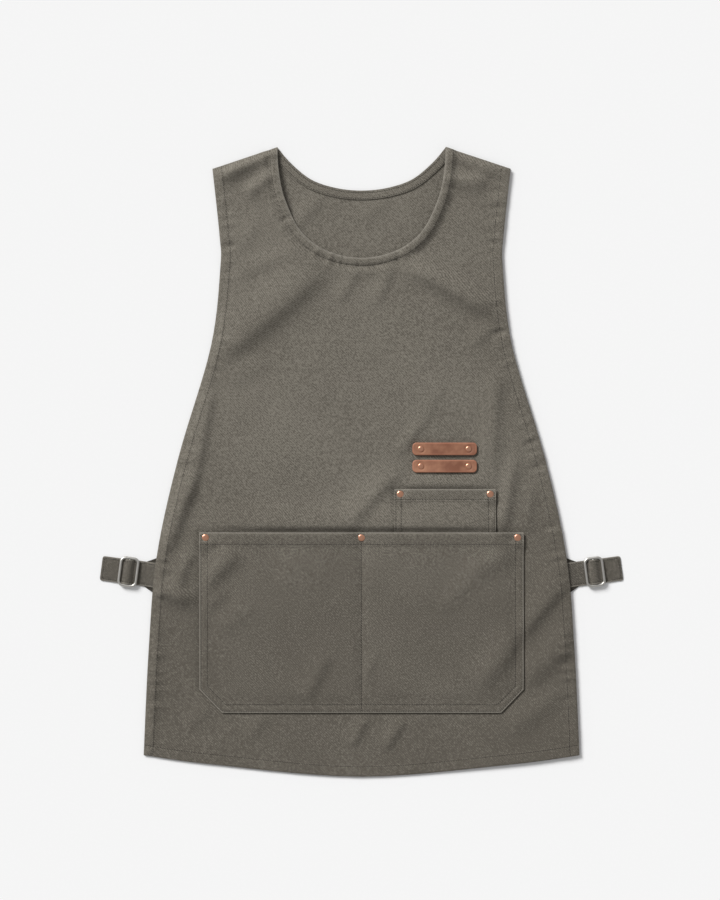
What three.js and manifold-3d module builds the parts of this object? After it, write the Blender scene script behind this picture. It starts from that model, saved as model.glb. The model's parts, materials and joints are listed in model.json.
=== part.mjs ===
// An artist's smock apron, laid flat on its back panel with its front up.
// Units are millimetres. +X is to the viewer's right, +Y towards the neck and +Z up from the table.
// The back panel lies on the table, the front panel lies on it, and the two are joined at the shoulders
// and by an adjustable strap at each side.

import * as THREE from "three";
import { mergeVertices } from "three/addons/utils/BufferGeometryUtils.js";
import Module from "manifold-3d";

const wasm = await Module();
wasm.setup();

// ---------------------------------------------------------------- driving dimensions

// Cloth, and the clearance that neighbouring pieces keep.
const CLOTH = 0.8;
const GAP = 0.3;

// Heights of the layers, from the table up.
const BACK_LEVEL = 0;
const BACK_LINING_LEVEL = BACK_LEVEL + CLOTH + GAP;
const FRONT_LINING_LEVEL = BACK_LINING_LEVEL + CLOTH + GAP;
const FRONT_LEVEL = FRONT_LINING_LEVEL + CLOTH + GAP;
const FRONT_TOP = FRONT_LEVEL + CLOTH;
const POCKET_LEVEL = FRONT_TOP + GAP;
const HAND_ROOM = 4.9;

// One side edge of both panels, as half width and height, from the shoulder tip down to the hem corner.
const SIDE_EDGE = [
  [179, 352],
  [170.5, 272],
  [169.5, 234],
  [181, 138],
  [220, 5],
  [246, -114],
  [255.7, -227],
  [261.6, -352],
];
const NECK_POINT = [101, 378];
const HEM_SIDE = [176, -363.6];
const HEM_MIDDLE = [0, -378];

// Half of each neckline, from just below the neck point down to the middle.
const FRONT_NECKLINE = [
  [99, 348],
  [91.6, 315],
  [72.6, 277],
  [42.4, 254],
  [0, 245],
];
const BACK_NECKLINE = [
  [85, 359],
  [60, 339],
  [30, 329],
  [0, 326],
];
const FACING_WIDTH = 11;
const FACING_TOP = 370;

// The allowance folded inside each shoulder seam.
const SEAM_WIDTH = 8;
const SEAM_START = 16;
const SEAM_END = 2;
const SEAM_CORNER = 1;

// The wide pocket, with a row of stitching down its middle. Its edge is turned under at the sides and the bottom.
const POCKET_HALF = 194.5;
const POCKET_TOP = -84.4;
const POCKET_BOTTOM = -301;
const POCKET_CORNER = [27, 28];
const POCKET_EDGE = 13;
const POCKET_DIVIDER = 10;
const POCKET_CEILING = POCKET_LEVEL + CLOTH + GAP + HAND_ROOM;

// How far a cutting shape runs past what it cuts.
const OVERCUT = 1;

// The small tool pocket, whose lower end runs under the wide pocket.
const TOOL_LEFT = 39.4;
const TOOL_RIGHT = 161.2;
const TOOL_TOP = -32.4;
const TOOL_BEND = -60;
const TOOL_FLAT = -80;
const TOOL_BOTTOM = -170;
const TOOL_EDGE = 12;
const TOOL_CEILING = FRONT_TOP + HAND_ROOM;

// The two leather keepers over the tool pocket.
const KEEPER_LEFT = 61;
const KEEPER_LENGTH = 77.6;
const KEEPER_WIDTH = 15.3;
const KEEPER_CORNER = 5;
const KEEPER_THICK = 1.8;
const KEEPER_END = 16;
const KEEPER_RAMP = 8;
const KEEPER_RIVET_INSET = 10.2;
const KEEPER_HEIGHTS = [15.7, -5];

// Two-part rivets.
const POST_RADIUS = 1.5;
const HOLE_RADIUS = 1.9;
const CAP_RADIUS = 4.3;
const KEEPER_CAP_RADIUS = 3.6;
const CAP_HEIGHT = 1.6;
const CAP_RIM = 0.5;
const WASHER_RADIUS = 3.6;
const WASHER_THICK = CLOTH;
const POCKET_RIVET_X = 187.2;
const POCKET_RIVET_DROP = 6.3;
const TOOL_RIVET_INSET = 7;
const TOOL_RIVET_DROP = 6.2;

// The side straps. Each lies along its own line, which starts at the panel's edge and climbs outwards.
const STRAP_START = [248, -136];
const STRAP_TILT = THREE.MathUtils.degToRad(7.5);
const STRAP_WIDTH = 29.6;
const STRAP_SEWN = 16;
const STRAP_TAIL = 65.2;
const STRAP_CORNER = 6;
const TAB_FLARE = 42;
const TAB_FLARE_END = 12;

// The strap's slider: a flat ring with a bar across it, below the strap.
const SLIDER_AT = 32;
const SLIDER_LENGTH = 22;
const SLIDER_WIDTH = 36.4;
const SLIDER_CORNER = 5;
const SLIDER_WIRE = 2.8;
const SLIDER_THICK = 2.6;
const SLIDER_BEVEL = 0.8;
const BAR_RADIUS = 1.1;

// The end of the back tab, folded round the bar. Its lower layer lies on the tab, which runs on beneath it,
// so the loop can rise with the strap and travel with the slider.
const LOOP_INNER = 19;
const LOOP_LEVEL = BACK_LINING_LEVEL + CLOTH + GAP;
const BAR_LEVEL = LOOP_LEVEL + CLOTH + GAP;
const LOOP_TOP_LEVEL = BAR_LEVEL + 2 * BAR_RADIUS + GAP;
const STRAP_LEVEL = LOOP_TOP_LEVEL + CLOTH + GAP;
const RING_LEVEL = STRAP_LEVEL + CLOTH + GAP;
const STRAP_RAMP = [1.5, 8.5];
const TAB_END = SLIDER_AT;

const CURVE_STEPS = 7;
const ROUND_STEPS = 20;
const DOME_STEPS = 3;

// ---------------------------------------------------------------- materials

const makeCanvas = () => new THREE.MeshStandardMaterial({ color: 0x6d685e, roughness: 0.95, metalness: 0 });
const makeLeather = () => new THREE.MeshStandardMaterial({ color: 0x8e634d, roughness: 0.6, metalness: 0 });
const makeCopper = () => new THREE.MeshStandardMaterial({ color: 0xb07a5c, roughness: 0.3, metalness: 1 });
const makeNickel = () => new THREE.MeshStandardMaterial({ color: 0xc3c0ba, roughness: 0.28, metalness: 1 });

// ---------------------------------------------------------------- helpers

const smock = new THREE.Group();

function place(name, geometry, material) {
  const mesh = new THREE.Mesh(geometry, material);
  mesh.name = name;
  smock.add(mesh);
  return mesh;
}

function toSolid(geometry) {
  const bare = geometry.clone();
  bare.deleteAttribute("normal");
  bare.deleteAttribute("uv");
  const joined = mergeVertices(bare, 1e-4);
  const vertProperties = new Float32Array(joined.attributes.position.array);
  const triVerts = new Uint32Array(joined.index.array);
  return new wasm.Manifold(new wasm.Mesh({ numProp: 3, vertProperties, triVerts }));
}

function toGeometry(solid) {
  const mesh = solid.getMesh();
  const geometry = new THREE.BufferGeometry();
  geometry.setAttribute("position", new THREE.BufferAttribute(new Float32Array(mesh.vertProperties), 3));
  geometry.setIndex(new THREE.BufferAttribute(new Uint32Array(mesh.triVerts), 1));
  geometry.computeVertexNormals();
  return geometry;
}

// A flat shape raised from one height to another.
function raise(shape, bottom, top) {
  const geometry = new THREE.ExtrudeGeometry(shape, {
    depth: top - bottom,
    bevelEnabled: false,
    curveSegments: ROUND_STEPS / 4,
  });
  return geometry.translate(0, 0, bottom);
}

// A profile drawn as (distance along Y, height), swept along X from one side to the other.
function sweepAcross(profile, left, right) {
  const shape = new THREE.Shape(profile.map(([y, z]) => new THREE.Vector2(y, z)));
  const geometry = new THREE.ExtrudeGeometry(shape, { depth: right - left, bevelEnabled: false });
  const turn = new THREE.Matrix4().makeBasis(
    new THREE.Vector3(0, 1, 0),
    new THREE.Vector3(0, 0, 1),
    new THREE.Vector3(1, 0, 0),
  );
  return geometry.applyMatrix4(turn).translate(left, 0, 0);
}

// A profile drawn as (distance along X, height), swept along Y from one side to the other.
function sweepAlong(profile, near, far) {
  const shape = new THREE.Shape(profile.map(([x, z]) => new THREE.Vector2(x, z)));
  const geometry = new THREE.ExtrudeGeometry(shape, { depth: far - near, bevelEnabled: false });
  return geometry.rotateX(Math.PI / 2).translate(0, far, 0);
}

function curveThrough(points) {
  const curve = new THREE.SplineCurve(points.map(([x, y]) => new THREE.Vector2(x, y)));
  return curve.getPoints(CURVE_STEPS * (points.length - 1));
}

const mirrored = (points) => points.map(([x, y]) => [-x, y]);

// Upright holes through a solid, one at each place.
function drill(solid, places) {
  const length = 2 * (POCKET_CEILING + CLOTH);
  for (const [x, y] of places) {
    const bit = new THREE.CylinderGeometry(HOLE_RADIUS, HOLE_RADIUS, length, ROUND_STEPS / 2);
    solid = solid.subtract(toSolid(bit.rotateX(Math.PI / 2).translate(x, y, 0)));
  }
  return solid;
}

function roundedRectangle(left, bottom, width, height, corner) {
  const right = left + width;
  const top = bottom + height;
  const shape = new THREE.Shape();
  shape.moveTo(left + corner, bottom);
  shape.lineTo(right - corner, bottom);
  shape.absarc(right - corner, bottom + corner, corner, -Math.PI / 2, 0);
  shape.lineTo(right, top - corner);
  shape.absarc(right - corner, top - corner, corner, 0, Math.PI / 2);
  shape.lineTo(left + corner, top);
  shape.absarc(left + corner, top - corner, corner, Math.PI / 2, Math.PI);
  shape.lineTo(left, bottom + corner);
  shape.absarc(left + corner, bottom + corner, corner, Math.PI, 1.5 * Math.PI);
  return shape;
}

// ---------------------------------------------------------------- rivet positions

const pocketRivets = [-POCKET_RIVET_X, 0, POCKET_RIVET_X].map((x) => [x, POCKET_TOP - POCKET_RIVET_DROP]);
const toolRivets = [TOOL_LEFT + TOOL_RIVET_INSET, TOOL_RIGHT - TOOL_RIVET_INSET].map((x) => [
  x,
  TOOL_TOP - TOOL_RIVET_DROP,
]);
const keeperRivets = KEEPER_HEIGHTS.map((y) =>
  [KEEPER_LEFT + KEEPER_RIVET_INSET, KEEPER_LEFT + KEEPER_LENGTH - KEEPER_RIVET_INSET].map((x) => [x, y]),
);

// ---------------------------------------------------------------- panels and facings

// The whole neckline from the left neck point round to the right one.
function necklineRun(half) {
  const right = [NECK_POINT, ...half];
  const left = mirrored(right.slice(0, -1));
  return curveThrough([...left, ...right.reverse()]);
}

function panelShape(neckline) {
  const right = curveThrough(SIDE_EDGE);
  const left = curveThrough([...mirrored(SIDE_EDGE)].reverse());
  const hem = curveThrough([SIDE_EDGE.at(-1), HEM_SIDE, HEM_MIDDLE, ...mirrored([HEM_SIDE, SIDE_EDGE.at(-1)])]);
  return new THREE.Shape([...neckline, ...right, ...hem.slice(1, -1), ...left]);
}

function makeBackPanel() {
  const shape = panelShape(necklineRun(BACK_NECKLINE));
  place("back_panel", raise(shape, BACK_LEVEL, BACK_LEVEL + CLOTH), makeCanvas());
}

function makeFrontPanel() {
  const shape = panelShape(necklineRun(FRONT_NECKLINE));
  const panel = toSolid(raise(shape, FRONT_LEVEL, FRONT_TOP));
  const rivets = [...pocketRivets, ...toolRivets, ...keeperRivets.flat()];
  place("front_panel", toGeometry(drill(panel, rivets)), makeCanvas());
}

// A narrow facing, turned to the inside and stitched down along a neckline.
function makeNeckFacing(name, half, level) {
  const edge = necklineRun(half).filter((point) => point.y < FACING_TOP);
  const outer = edge.map((point, i) => {
    const before = edge[Math.max(i - 1, 0)];
    const after = edge[Math.min(i + 1, edge.length - 1)];
    const along = after.clone().sub(before).normalize();
    return new THREE.Vector2(point.x + along.y * FACING_WIDTH, point.y - along.x * FACING_WIDTH);
  });
  const shape = new THREE.Shape([...edge, ...outer.reverse()]);
  place(name, raise(shape, level, level + CLOTH), makeCanvas());
}

// The seam allowance folded between the panels, along the shoulder slope.
function makeShoulderSeam(name, side) {
  const start = new THREE.Vector2(side * NECK_POINT[0], NECK_POINT[1]);
  const end = new THREE.Vector2(side * SIDE_EDGE[0][0], SIDE_EDGE[0][1]);
  const slope = end.clone().sub(start);
  const length = slope.length() - SEAM_START - SEAM_END;
  const shape = roundedRectangle(SEAM_START, -SEAM_WIDTH / 2, length, SEAM_WIDTH, SEAM_CORNER);
  const geometry = raise(shape, BACK_LINING_LEVEL, FRONT_LINING_LEVEL + CLOTH);
  const mesh = place(name, geometry, makeCanvas());
  mesh.rotation.z = slope.angle();
  mesh.position.set(start.x, start.y - SEAM_WIDTH, 0);
}

// ---------------------------------------------------------------- pockets

function pocketShape() {
  const [cutX, cutY] = POCKET_CORNER;
  const half = [
    [POCKET_HALF, POCKET_TOP],
    [POCKET_HALF, POCKET_BOTTOM + cutY],
    [POCKET_HALF - cutX, POCKET_BOTTOM],
  ];
  return new THREE.Shape([...half, ...mirrored(half).reverse()].map(([x, y]) => new THREE.Vector2(x, y)));
}

// The room on one side of the divider, open at the top.
function pocketRoom(side) {
  const [cutX, cutY] = POCKET_CORNER;
  const inner = POCKET_DIVIDER / 2;
  const outer = POCKET_HALF - POCKET_EDGE;
  const bottom = POCKET_BOTTOM + POCKET_EDGE;
  const corners = [
    [inner, POCKET_TOP + OVERCUT],
    [inner, bottom],
    [outer - cutX, bottom],
    [outer, bottom + cutY],
    [outer, POCKET_TOP + OVERCUT],
  ];
  return new THREE.Shape(corners.map(([x, y]) => new THREE.Vector2(side * x, y)));
}

// The pocket's face is one flat piece, held off the panel by its turned edge so that both rooms stay open.
function makeWidePocket() {
  const face = toSolid(raise(pocketShape(), POCKET_CEILING, POCKET_CEILING + CLOTH));
  place("wide_pocket", toGeometry(drill(face, pocketRivets)), makeCanvas());
  const edgeTop = POCKET_CEILING - GAP;
  let edge = toSolid(raise(pocketShape(), POCKET_LEVEL, edgeTop));
  for (const side of [-1, 1]) {
    edge = edge.subtract(toSolid(raise(pocketRoom(side), POCKET_LEVEL - OVERCUT, edgeTop + OVERCUT)));
  }
  place("wide_pocket_turned_edge", toGeometry(drill(edge, pocketRivets)), makeCanvas());
}

function makeToolPocket() {
  const flatTop = POCKET_LEVEL + CLOTH;
  const body = toSolid(
    sweepAcross(
      [
        [TOOL_TOP, POCKET_LEVEL],
        [TOOL_TOP, TOOL_CEILING + CLOTH],
        [TOOL_BEND, TOOL_CEILING + CLOTH],
        [TOOL_FLAT, flatTop],
        [TOOL_BOTTOM, flatTop],
        [TOOL_BOTTOM, POCKET_LEVEL],
      ],
      TOOL_LEFT,
      TOOL_RIGHT,
    ),
  );
  const space = toSolid(
    sweepAcross(
      [
        [TOOL_TOP + OVERCUT, POCKET_LEVEL - OVERCUT],
        [TOOL_TOP + OVERCUT, TOOL_CEILING],
        [TOOL_BEND, TOOL_CEILING],
        [TOOL_FLAT, POCKET_LEVEL],
        [TOOL_FLAT, POCKET_LEVEL - OVERCUT],
      ],
      TOOL_LEFT + TOOL_EDGE,
      TOOL_RIGHT - TOOL_EDGE,
    ),
  );
  place("tool_pocket", toGeometry(drill(body.subtract(space), toolRivets)), makeCanvas());
}

// ---------------------------------------------------------------- leather keepers

// A strip riveted down at both ends and arched between them, so that a handle can be pushed through.
function makeKeeper(name, y, rivets) {
  const low = POCKET_LEVEL;
  const high = FRONT_TOP + HAND_ROOM;
  const left = KEEPER_LEFT;
  const right = left + KEEPER_LENGTH;
  const climb = left + KEEPER_END;
  const fall = right - KEEPER_END;
  const under = [
    [left, low],
    [climb, low],
    [climb + KEEPER_RAMP, high],
    [fall - KEEPER_RAMP, high],
    [fall, low],
    [right, low],
  ];
  const over = under.map(([x, z]) => [x, z + KEEPER_THICK]);
  const arch = toSolid(sweepAlong([...under, ...over.reverse()], y - KEEPER_WIDTH / 2, y + KEEPER_WIDTH / 2));
  const outline = roundedRectangle(left, y - KEEPER_WIDTH / 2, KEEPER_LENGTH, KEEPER_WIDTH, KEEPER_CORNER);
  const cutter = toSolid(raise(outline, low - OVERCUT, high + KEEPER_THICK + OVERCUT));
  place(name, toGeometry(drill(arch.intersect(cutter), rivets)), makeLeather());
}

// ---------------------------------------------------------------- rivets

// The cap and its post, which stops just short of the washer's floor.
function makeRivetCap(name, x, y, seat, radius) {
  const foot = FRONT_LINING_LEVEL + GAP;
  const rim = seat + CAP_RIM;
  const dome = [];
  for (let i = 0; i <= DOME_STEPS; i += 1) {
    const turn = (i / DOME_STEPS) * (Math.PI / 2);
    dome.push(new THREE.Vector2(radius * Math.cos(turn), rim + (CAP_HEIGHT - CAP_RIM) * Math.sin(turn)));
  }
  dome.at(-1).x = 0;
  const profile = [
    new THREE.Vector2(0, foot),
    new THREE.Vector2(POST_RADIUS, foot),
    new THREE.Vector2(POST_RADIUS, seat),
    new THREE.Vector2(radius, seat),
    ...dome,
  ];
  const cap = place(name, latheUpright(profile), makeCopper());
  cap.position.set(x, y, 0);
}

// The washer on the inside of the front panel, with a socket that the post ends in.
function makeRivetBack(name, x, y) {
  const floor = FRONT_LINING_LEVEL;
  const profile = [
    new THREE.Vector2(POST_RADIUS + GAP, floor),
    new THREE.Vector2(WASHER_RADIUS, floor),
    new THREE.Vector2(WASHER_RADIUS, floor + WASHER_THICK),
    new THREE.Vector2(POST_RADIUS + GAP, floor + WASHER_THICK),
    new THREE.Vector2(POST_RADIUS + GAP, floor),
  ];
  const washer = place(name, latheUpright(profile), makeCopper());
  washer.position.set(x, y, 0);
}

// A profile drawn as (radius, height), turned about a vertical axis.
function latheUpright(profile) {
  return new THREE.LatheGeometry(profile, ROUND_STEPS).rotateX(Math.PI / 2);
}

function makeRivets() {
  const pocketSeat = POCKET_CEILING + CLOTH + GAP;
  const toolSeat = TOOL_CEILING + CLOTH + GAP;
  const keeperSeat = POCKET_LEVEL + KEEPER_THICK + GAP;
  const places = ["left", "middle", "right"];
  pocketRivets.forEach(([x, y], i) => {
    makeRivetCap(`wide_pocket_rivet_cap_${places[i]}`, x, y, pocketSeat, CAP_RADIUS);
    makeRivetBack(`wide_pocket_rivet_back_${places[i]}`, x, y);
  });
  const ends = ["inner", "outer"];
  toolRivets.forEach(([x, y], i) => {
    makeRivetCap(`tool_pocket_rivet_cap_${ends[i]}`, x, y, toolSeat, CAP_RADIUS);
    makeRivetBack(`tool_pocket_rivet_back_${ends[i]}`, x, y);
  });
  const rows = ["upper", "lower"];
  keeperRivets.forEach((pair, row) => {
    pair.forEach(([x, y], i) => {
      makeRivetCap(`${rows[row]}_keeper_rivet_cap_${ends[i]}`, x, y, keeperSeat, KEEPER_CAP_RADIUS);
      makeRivetBack(`${rows[row]}_keeper_rivet_back_${ends[i]}`, x, y);
    });
  });
}

// ---------------------------------------------------------------- side straps

// Each strap piece is made along +X from the panel's edge, then turned to lie along its own side.
function placeOnStrap(name, side, geometry, material) {
  const mesh = place(name, geometry, material);
  mesh.rotation.z = side > 0 ? STRAP_TILT : Math.PI - STRAP_TILT;
  mesh.position.set(side * STRAP_START[0], STRAP_START[1], 0);
}

// The strap sewn inside the front panel, which climbs over the folded tab and ends in a free tail.
function makeFrontStrap(name, side) {
  const [rampStart, rampEnd] = STRAP_RAMP;
  const under = [
    [-STRAP_SEWN, FRONT_LINING_LEVEL],
    [rampStart, FRONT_LINING_LEVEL],
    [rampEnd, STRAP_LEVEL],
    [STRAP_TAIL, STRAP_LEVEL],
  ];
  const over = under.map(([x, z]) => [x, z + CLOTH]);
  const half = STRAP_WIDTH / 2;
  const strip = toSolid(sweepAlong([...under, ...over.reverse()], -half, half));
  const reach = STRAP_SEWN + STRAP_CORNER;
  const outline = roundedRectangle(-reach, -half, reach + STRAP_TAIL, STRAP_WIDTH, STRAP_CORNER);
  const cutter = toSolid(raise(outline, BACK_LEVEL, RING_LEVEL));
  placeOnStrap(name, side, toGeometry(strip.intersect(cutter)), makeCanvas());
}

// The tab sewn inside the back panel, which narrows on its way out to the slider.
function makeBackTab(name, side) {
  const half = STRAP_WIDTH / 2;
  const shape = new THREE.Shape();
  shape.moveTo(-STRAP_SEWN, TAB_FLARE / 2);
  shape.lineTo(-STRAP_SEWN, -TAB_FLARE / 2);
  shape.lineTo(0, -TAB_FLARE / 2);
  shape.lineTo(TAB_FLARE_END, -half);
  shape.lineTo(TAB_END, -half);
  shape.lineTo(TAB_END, half);
  shape.lineTo(TAB_FLARE_END, half);
  shape.lineTo(0, TAB_FLARE / 2);
  placeOnStrap(name, side, raise(shape, BACK_LINING_LEVEL, BACK_LINING_LEVEL + CLOTH), makeCanvas());
}

// The tab's sewn end, folded round the slider's bar, with both its layers open towards the panel.
function makeTabLoop(name, side) {
  const inside = BAR_RADIUS + GAP;
  const outside = inside + CLOTH;
  const centre = BAR_LEVEL + BAR_RADIUS;
  const turn = (radius, from, to) => {
    const arc = new THREE.EllipseCurve(SLIDER_AT, centre, radius, radius, from, to, to < from);
    return arc.getPoints(ROUND_STEPS / 2).map((point) => [point.x, point.y]);
  };
  const profile = [
    [LOOP_INNER, centre - outside],
    ...turn(outside, -Math.PI / 2, Math.PI / 2),
    [LOOP_INNER, centre + outside],
    [LOOP_INNER, centre + inside],
    ...turn(inside, Math.PI / 2, -Math.PI / 2),
    [LOOP_INNER, centre - inside],
  ];
  const half = STRAP_WIDTH / 2;
  placeOnStrap(name, side, sweepAlong(profile, -half, half), makeCanvas());
}

function makeSlider(name, side) {
  const left = SLIDER_AT - SLIDER_LENGTH / 2 + SLIDER_BEVEL;
  const bottom = -SLIDER_WIDTH / 2 + SLIDER_BEVEL;
  const ring = roundedRectangle(
    left,
    bottom,
    SLIDER_LENGTH - 2 * SLIDER_BEVEL,
    SLIDER_WIDTH - 2 * SLIDER_BEVEL,
    SLIDER_CORNER,
  );
  const core = SLIDER_WIRE - 2 * SLIDER_BEVEL;
  const window = roundedRectangle(
    left + core,
    bottom + core,
    SLIDER_LENGTH - 2 * SLIDER_WIRE + 2 * SLIDER_BEVEL,
    SLIDER_WIDTH - 2 * SLIDER_WIRE + 2 * SLIDER_BEVEL,
    SLIDER_CORNER - core,
  );
  ring.holes = [window];
  const wire = new THREE.ExtrudeGeometry(ring, {
    depth: SLIDER_THICK - 2 * SLIDER_BEVEL,
    bevelThickness: SLIDER_BEVEL,
    bevelSize: SLIDER_BEVEL,
    bevelSegments: 2,
    curveSegments: ROUND_STEPS / 5,
  }).translate(0, 0, RING_LEVEL + SLIDER_BEVEL);
  let slider = toSolid(wire);
  const reach = SLIDER_WIDTH / 2 - BAR_RADIUS;
  const bar = new THREE.CylinderGeometry(BAR_RADIUS, BAR_RADIUS, 2 * reach, ROUND_STEPS / 2);
  slider = slider.add(toSolid(bar.translate(SLIDER_AT, 0, BAR_LEVEL + BAR_RADIUS)));
  const foot = BAR_LEVEL;
  const head = RING_LEVEL + SLIDER_THICK / 2;
  for (const end of [-1, 1]) {
    const post = new THREE.CylinderGeometry(BAR_RADIUS, BAR_RADIUS, head - foot, ROUND_STEPS / 2);
    post.rotateX(Math.PI / 2).translate(SLIDER_AT, end * reach, (head + foot) / 2);
    slider = slider.add(toSolid(post));
  }
  placeOnStrap(name, side, toGeometry(slider), makeNickel());
}

// ---------------------------------------------------------------- assembly

makeBackPanel();
makeFrontPanel();
makeNeckFacing("back_neck_facing", BACK_NECKLINE, BACK_LINING_LEVEL);
makeNeckFacing("front_neck_facing", FRONT_NECKLINE, FRONT_LINING_LEVEL);
makeWidePocket();
makeToolPocket();
makeKeeper("upper_leather_keeper", KEEPER_HEIGHTS[0], keeperRivets[0]);
makeKeeper("lower_leather_keeper", KEEPER_HEIGHTS[1], keeperRivets[1]);
makeRivets();
for (const [name, side] of [["left", -1], ["right", 1]]) {
  makeShoulderSeam(`${name}_shoulder_seam`, side);
  makeFrontStrap(`${name}_front_strap`, side);
  makeBackTab(`${name}_back_tab`, side);
  makeTabLoop(`${name}_tab_loop`, side);
  makeSlider(`${name}_slider`, side);
}

export default smock;
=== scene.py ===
# %% [markdown]
# # A canvas smock apron, laid out flat
# The garment has two canvas panels joined at the shoulders. The front carries a wide pocket, a small tool
# pocket and two leather keepers, and a strap with a metal slider closes each side. The CAD frame holds
# the layout. Each soft piece is cut here again as fine cloth, from the CAD outlines, so that it can have
# folds, hems and real rows of stitching.

# %% Load the frame
import json
import math

import bmesh
import bpy
import numpy as np
from mathutils.geometry import delaunay_2d_cdt
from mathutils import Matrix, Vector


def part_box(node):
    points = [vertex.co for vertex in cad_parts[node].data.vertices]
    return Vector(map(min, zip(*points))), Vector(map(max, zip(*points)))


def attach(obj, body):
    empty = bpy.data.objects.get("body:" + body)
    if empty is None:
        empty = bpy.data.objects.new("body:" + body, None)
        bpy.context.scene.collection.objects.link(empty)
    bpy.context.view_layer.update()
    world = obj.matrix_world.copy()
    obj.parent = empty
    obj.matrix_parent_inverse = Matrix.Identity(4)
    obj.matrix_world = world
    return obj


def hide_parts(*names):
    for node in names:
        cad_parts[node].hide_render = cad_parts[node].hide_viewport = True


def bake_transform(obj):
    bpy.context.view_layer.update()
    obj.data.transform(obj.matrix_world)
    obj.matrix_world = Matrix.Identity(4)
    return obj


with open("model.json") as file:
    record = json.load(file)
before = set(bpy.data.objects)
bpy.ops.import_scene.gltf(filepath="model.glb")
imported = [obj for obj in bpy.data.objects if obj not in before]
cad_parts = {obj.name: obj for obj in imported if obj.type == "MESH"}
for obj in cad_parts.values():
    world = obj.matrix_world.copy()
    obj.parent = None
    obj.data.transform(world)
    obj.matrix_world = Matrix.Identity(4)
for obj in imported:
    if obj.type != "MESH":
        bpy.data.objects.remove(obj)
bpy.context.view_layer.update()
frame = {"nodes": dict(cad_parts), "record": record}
print("pieces in the frame:", len(frame["nodes"]))

# %% [markdown]
# ## Small tools
# Cloth is easiest to think about in millimetres, while Blender's scene is in metres. Everything below is
# worked out in millimetres, and turned into metres at the moment a mesh is made.

# %% Units and colours
MM = 0.001


def linear(hex_colour):
    """An sRGB colour such as #6E6A60, as the linear numbers that shaders work in."""
    parts = [int(hex_colour[i:i + 2], 16) / 255 for i in (1, 3, 5)]
    return [c / 12.92 if c <= 0.04045 else ((c + 0.055) / 1.055) ** 2.4 for c in parts] + [1.0]


def add(material, kind, inputs, **settings):
    """Adds one shader node. Each input takes a plain value or the output of another node."""
    node = material.node_tree.nodes.new(kind)
    for name, value in settings.items():
        setattr(node, name, value)
    for socket, value in inputs.items():
        if isinstance(value, bpy.types.NodeSocket):
            material.node_tree.links.new(value, node.inputs[socket])
        else:
            node.inputs[socket].default_value = value
    return node


def new_material(name):
    """An empty node material with only its output left in it."""
    material = bpy.data.materials.new(name)
    material.use_nodes = True
    for node in list(material.node_tree.nodes):
        if node.type != "OUTPUT_MATERIAL":
            material.node_tree.nodes.remove(node)
    return material


def set_surface(material, shader):
    """Makes a shader the material's surface."""
    output = material.node_tree.nodes["Material Output"]
    material.node_tree.links.new(shader.outputs[0], output.inputs["Surface"])


# %% [markdown]
# ## Reading the pattern from the frame
# A pattern cutter traces a paper pattern. Here each CAD piece is the pattern: its upward faces are
# collected, and the edges that only one of them uses are its outline. A sharp turn in the outline is a
# corner of the garment, and the stretches between corners are the neckline, the shoulders, the sides and
# the hem.

# %% Trace an outline and split it at its corners
def trace_outline(node):
    """The outline of a CAD piece seen from above, in mm, running anticlockwise."""
    mesh = frame["nodes"][node].data
    place = [tuple(round(c / MM, 2) for c in v.co) for v in mesh.vertices]
    after = {}
    faces = [[place[i][:2] for i in p.vertices] for p in mesh.polygons if p.normal.z > 0.3]
    edges = {(a, b) for face in faces for a, b in zip(face, face[1:] + face[:1])}
    for a, b in edges:
        if (b, a) not in edges and a != b:
            after[a] = b
    loops = []
    while after:
        loop = [min(after)]
        while loop[-1] in after:
            loop.append(after.pop(loop[-1]))
        loops.append(loop[:-1])
    return np.array(max(loops, key=lambda loop: np.ptp(np.array(loop)[:, 0])))


def split_at_corners(outline, least_turn=24):
    """The stretches of an outline between its corners, in order. A round outline is one stretch."""
    before = outline - np.roll(outline, 1, axis=0)
    ahead = np.roll(outline, -1, axis=0) - outline
    turn = np.arctan2(before[:, 0] * ahead[:, 1] - before[:, 1] * ahead[:, 0], (before * ahead).sum(1))
    corners = np.flatnonzero(np.abs(np.degrees(turn)) > least_turn)
    if len(corners) == 0:
        return [np.vstack([outline, outline[:1]])]
    outline = np.roll(outline, -corners[0], axis=0)
    cuts = list(corners - corners[0]) + [len(outline)]
    closed = np.vstack([outline, outline[:1]])
    return [closed[a:b + 1] for a, b in zip(cuts, cuts[1:])]


def middle(run):
    """The middle of a line's box."""
    return (run.min(0) + run.max(0)) / 2


def length_of(run):
    return np.linalg.norm(np.diff(run, axis=0), axis=1).sum()


def spaced(run, step):
    """The same line with its points about one step apart."""
    far = np.concatenate([[0], np.cumsum(np.linalg.norm(np.diff(run, axis=0), axis=1))])
    at = np.linspace(0, far[-1], max(2, round(far[-1] / step) + 1))
    return np.column_stack([np.interp(at, far, run[:, 0]), np.interp(at, far, run[:, 1])])


def inset(run, distance):
    """A line moved to its left, which is inwards on an anticlockwise outline, with its corners kept sharp."""
    ahead = np.diff(run, axis=0)
    ahead /= np.linalg.norm(ahead, axis=1)[:, None]
    normal = np.column_stack([-ahead[:, 1], ahead[:, 0]])
    first, second = np.vstack([normal[:1], normal]), np.vstack([normal, normal[-1:]])
    both = first + second
    return run + both * distance / (both * first).sum(1)[:, None]


def name_panel_runs(node):
    """A panel's neckline, hem, two sides and two shoulders, found by where each lies."""
    runs = sorted(split_at_corners(trace_outline(node)), key=length_of)
    centred = [run for run in runs if abs(middle(run)[0]) < 5]
    sided = [run for run in runs if abs(middle(run)[0]) >= 5]
    return {
        "neckline": max(centred, key=lambda run: middle(run)[1]),
        "hem": min(centred, key=lambda run: middle(run)[1]),
        "shoulders": sided[:2],
        "sides": sided[2:],
    }


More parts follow.
